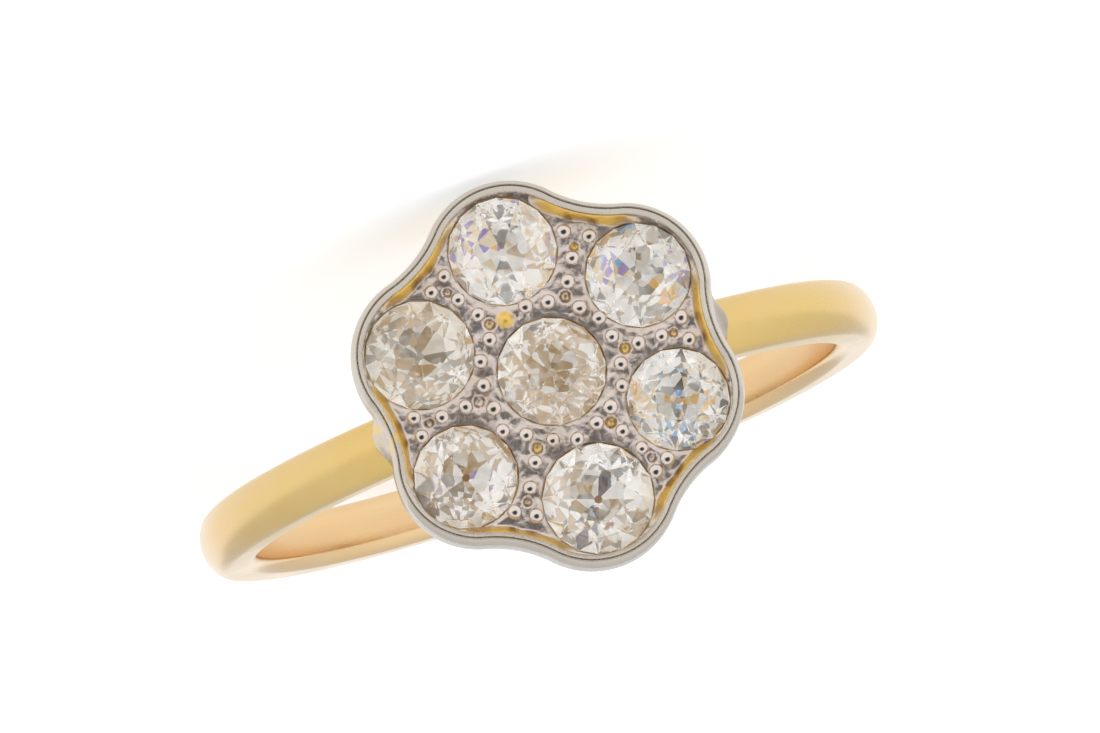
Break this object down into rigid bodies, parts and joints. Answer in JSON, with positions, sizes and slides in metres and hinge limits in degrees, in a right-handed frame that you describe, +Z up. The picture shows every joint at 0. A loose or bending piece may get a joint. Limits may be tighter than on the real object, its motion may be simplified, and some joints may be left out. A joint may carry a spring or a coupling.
{
  "type": "cluster ring",
  "caption": "Finger ring with a plain yellow gold shank and a flower-shaped, grain-set cluster of round old-cut brilliants in a scalloped white metal rim.",
  "frame": {"origin": "centre of the finger hole", "axes": "+Z up with the ring lying on its side; +Y from the head's side towards the back of the shank; the finger hole's axis leans off the Z axis in the YZ plane"},
  "size_m": [0.02, 0.0227, 0.0109],
  "materials": {
    "gold": "18 carat yellow gold, satin from wear with soft highlights",
    "platinum": "platinum, polished and worn, with faint warm stains by the grains",
    "diamond": "colourless to faintly tinted old-cut diamond, polished facets"
  },
  "bodies": {
    "root": {"shank": "gold", "setting": "platinum", "centre_stone": "diamond", "petal_stone_1": "diamond", "petal_stone_2": "diamond", "petal_stone_3": "diamond", "petal_stone_4": "diamond", "petal_stone_5": "diamond", "petal_stone_6": "diamond"}
  },
  "joints": []
}
